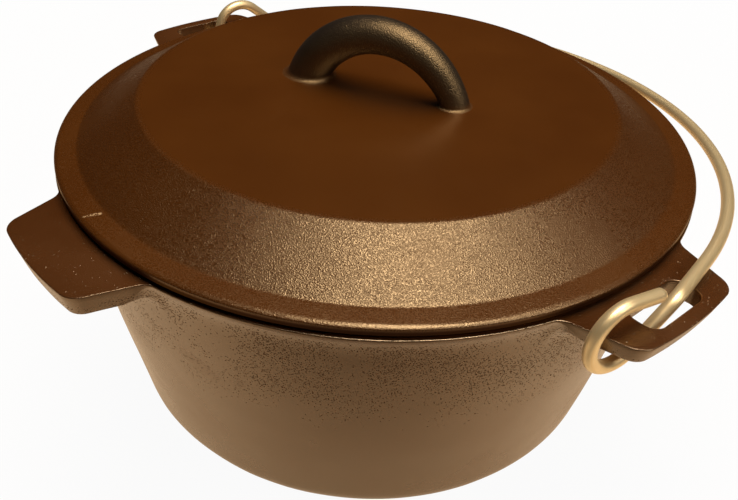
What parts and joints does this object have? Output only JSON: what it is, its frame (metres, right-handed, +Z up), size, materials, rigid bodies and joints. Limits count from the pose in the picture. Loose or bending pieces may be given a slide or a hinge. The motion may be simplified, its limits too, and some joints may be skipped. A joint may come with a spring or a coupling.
{
  "type": "camp dutch oven",
  "caption": "Cast iron camp oven: tapered flat-bottomed pot with slotted ears and a tilting tab, flanged lid with a loop handle, and a swinging wire bail.",
  "frame": {"origin": "centre of the pot's flat underside", "axes": "+Z up along the pot's axis, +X through the slotted ear at the right front of the picture, -Y through the solid tilting tab"},
  "size_m": [0.3186, 0.3078, 0.1695],
  "materials": {
    "pot_iron": "matte seasoned as-cast",
    "lid_iron": "satin seasoned, pebbled slope",
    "bail_wire": "satin drawn wire"
  },
  "bodies": {
    "pot": {"pot": "pot_iron"},
    "lid": {"lid": "lid_iron"},
    "bail": {"bail": "bail_wire"}
  },
  "joints": [
    {"name": "lid_lift", "type": "slide", "parent": "pot", "child": "lid", "axis": [0, 0, 1], "range_m": [0, 0.1]},
    {"name": "bail_swing", "type": "hinge", "parent": "pot", "child": "bail", "pos_m": [0, 0, 0.1147], "axis": [0.9884, -0.152, 0], "range_deg": [0, 174.9]}
  ]
}
